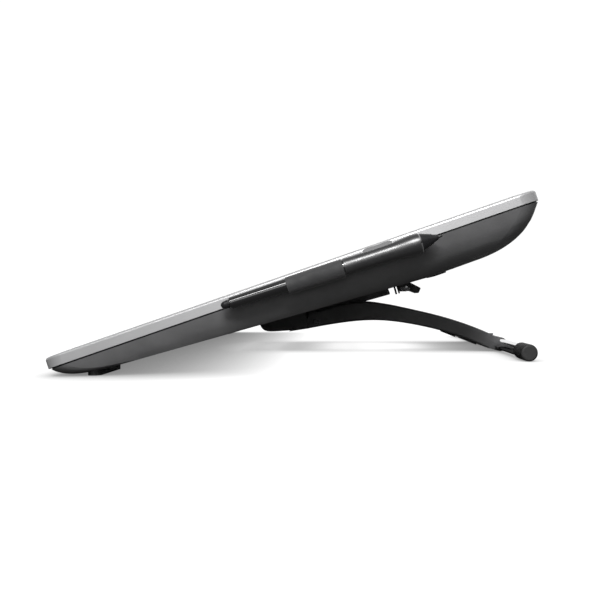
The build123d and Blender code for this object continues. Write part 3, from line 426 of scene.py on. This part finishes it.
TAB = (4.2 * MM, 3.0 * MM)
TAB_ENDS = (57 * MM, 92 * MM)
TAB_RISE = 2.6 * MM          # over the pen's axis
TAB_SINK = 0.1 * MM          # into the tablet's side
TAB_ROUND = 0.7 * MM
STITCH = 1.7 * MM
STITCH_PITCH = 1.45          # in stitches
STITCH_ROOM = 1.5            # in stitches, when they are counted
STITCH_MARGIN = 1.5 * MM
THREAD_R = 0.16 * MM


def loop_tab():
    """Sewn tab between the loop and the tablet: a folded strap with a row of stitches on top."""
    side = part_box("front_bezel")[1][0]
    work = bmesh.new()
    bmesh.ops.create_cube(work, size=1.0)
    centre = pen_tail + pen_along * sum(TAB_ENDS) / 2 + pen_up * TAB_RISE
    centre.x = side + TAB[0] / 2 - TAB_SINK
    turn = Matrix((ACROSS, pen_along, pen_up)).transposed().to_4x4()
    scale = Matrix.Diagonal((TAB[0], TAB_ENDS[1] - TAB_ENDS[0], TAB[1], 1))
    work.transform(Matrix.Translation(centre) @ turn @ scale)
    bmesh.ops.bevel(work, geom=work.edges[:], offset=TAB_ROUND, segments=4, affect="EDGES",
                    profile=0.5)
    for face in work.faces:
        face.smooth = True
    mesh = bpy.data.meshes.new("loop_tab")
    work.to_mesh(mesh)
    work.free()
    add_piece("loop_tab", mesh, "elastic", "tablet")
    thread = bmesh.new()
    count = int((TAB_ENDS[1] - TAB_ENDS[0]) / STITCH / STITCH_ROOM)
    top = pen_up * (TAB[1] / 2)
    for stitch in range(count):
        start = TAB_ENDS[0] + STITCH_MARGIN + stitch * STITCH * STITCH_PITCH
        where = centre + top + pen_along * (start + STITCH / 2 - sum(TAB_ENDS) / 2)
        squash = Matrix.Diagonal((THREAD_R, STITCH / 2, THREAD_R, 1))
        bmesh.ops.create_uvsphere(thread, u_segments=10, v_segments=8, radius=1.0,
                                  matrix=Matrix.Translation(where) @ turn @ squash)
    for face in thread.faces:
        face.smooth = True
    mesh = bpy.data.meshes.new("tab_stitches")
    thread.to_mesh(mesh)
    thread.free()
    add_piece("tab_stitches", mesh, "elastic", "tablet")


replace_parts(sleeve(), "pen_loop")
loop_tab()

# ---------------------------------------------------------------- floor, light and camera
FLOOR_REACH = 8.0
SHADOW_REACH = 0.04          # how near the object the paper darkens
PAPER_GLOW = 1.02
SHADOW_GLOW = 0.22
PAPER_BASE = (0.07, 0.07, 0.07, 1)
WHITE = (1, 1, 1, 1)
BACKGROUND_WHITE = 1.05
AMBIENT, OVERHEAD = 0.025, 0.3
DOME_HEIGHTS = (0.15, 0.8)   # of the direction, from ambient to overhead
BACKDROP = 0.9
BACKDROP_SIDE = (-0.35, -0.8)
SOFTBOXES = (                # name, place, target, size and watts
    ("softbox_key", (1.6, 0.0, 1.2), (0.3, 0.0, 0.08), (0.6, 0.6), 29),
    ("softbox_strip", (1.7, -0.35, 1.0), (0.3, -0.05, 0.08), (1.6, 0.14), 11),
    ("softbox_front", (1.5, -0.06, 0.32), (0.3, -0.06, 0.32), (1.1, 0.5), 2.3),
)
CAMERA_AT = Vector((0.817, 0.0258, 0.062))
CAMERA_TURN = (pi / 2, 0, pi / 2)    # level, looking along -X
SENSOR_WIDTH, LENS = 36.0, 39.05     # mm
LENS_SHIFT = (-0.075, -0.005)
CLIP_START = 0.01


def floor():
    """Paper sweep: it glows to camera rays only, and is dark to every other ray. Near the object an ambient
    occlusion node dims the glow: a painted contact shadow, not one cast by the lamps.
    """
    paper = Shader("floor_paper")
    shadow = paper.add("ShaderNodeAmbientOcclusion", samples=16)
    shadow.inputs["Distance"].default_value = SHADOW_REACH
    seen = paper.add("ShaderNodeLightPath").outputs["Is Camera Ray"]
    glow = paper.add("ShaderNodeMath", operation="MULTIPLY")
    # painted contact shadow: the glow falls from PAPER_GLOW to SHADOW_GLOW where ambient occlusion finds the
    # object near
    paper.link(paper.spread(shadow.outputs["AO"], SHADOW_GLOW, PAPER_GLOW, 0.0, 1.0), glow.inputs[0])
    paper.link(seen, glow.inputs[1])
    paper.link(glow.outputs["Value"], paper.principled.inputs["Emission Strength"])
    paper.set(Base_Color=PAPER_BASE, Roughness=0.9, Specular_IOR_Level=0.1, Emission_Color=WHITE)
    corners = [(x * FLOOR_REACH, y * FLOOR_REACH, 0) for x, y in ((-1, -1), (1, -1), (1, 1), (-1, 1))]
    mesh = bpy.data.meshes.new("floor")
    mesh.from_pydata(corners, [], [(0, 1, 2, 3)])
    mesh.materials.append(paper.material)
    plane = bpy.data.objects.new("floor", mesh)
    bpy.context.scene.collection.objects.link(plane)


def area_light(name, place, target, size, power):
    light = bpy.data.lights.new(name, "AREA")
    light.shape = "RECTANGLE"
    light.size, light.size_y = size
    light.energy = power
    lamp = bpy.data.objects.new(name, light)
    lamp.location = place
    aim = Vector(target) - Vector(place)
    lamp.rotation_euler = aim.to_track_quat("-Z", "Y").to_euler()
    bpy.context.scene.collection.objects.link(lamp)


def studio():
    """White to the eye, dim to the object, so that the softboxes shape it."""
    world = bpy.data.worlds.new("studio")
    world.use_nodes = True
    tree = world.node_tree

    def span(source, limits, low, high):
        made = tree.nodes.new("ShaderNodeMapRange")
        made.inputs["From Min"].default_value, made.inputs["From Max"].default_value = limits
        made.inputs["To Min"].default_value, made.inputs["To Max"].default_value = low, high
        tree.links.new(source, made.inputs["Value"])
        return made

    sky = tree.nodes.new("ShaderNodeSeparateXYZ")
    tree.links.new(tree.nodes.new("ShaderNodeTexCoord").outputs["Generated"], sky.inputs["Vector"])
    dome = span(sky.outputs["Z"], DOME_HEIGHTS, AMBIENT, OVERHEAD)
    backdrop = span(sky.outputs["X"], BACKDROP_SIDE, 0.0, BACKDROP)
    around = tree.nodes.new("ShaderNodeMath")
    tree.links.new(dome.outputs["Result"], around.inputs[0])
    tree.links.new(backdrop.outputs["Result"], around.inputs[1])
    seen = tree.nodes.new("ShaderNodeLightPath").outputs["Is Camera Ray"]
    level = span(seen, (0.0, 1.0), 0.0, BACKGROUND_WHITE)
    tree.links.new(around.outputs["Value"], level.inputs["To Min"])
    background = tree.nodes["Background"]
    background.inputs["Color"].default_value = WHITE
    tree.links.new(level.outputs["Result"], background.inputs["Strength"])
    bpy.context.scene.world = world
    for softbox in SOFTBOXES:
        area_light(*softbox)


def camera():
    data = bpy.data.cameras.new("camera")
    data.sensor_width = SENSOR_WIDTH
    data.lens = LENS
    data.shift_x, data.shift_y = LENS_SHIFT
    data.clip_start = CLIP_START
    eye = bpy.data.objects.new("camera", data)
    eye.location = CAMERA_AT
    eye.rotation_euler = CAMERA_TURN
    bpy.context.scene.collection.objects.link(eye)
    bpy.context.scene.camera = eye


floor()
studio()
camera()
bpy.context.scene.view_settings.view_transform = "Standard"
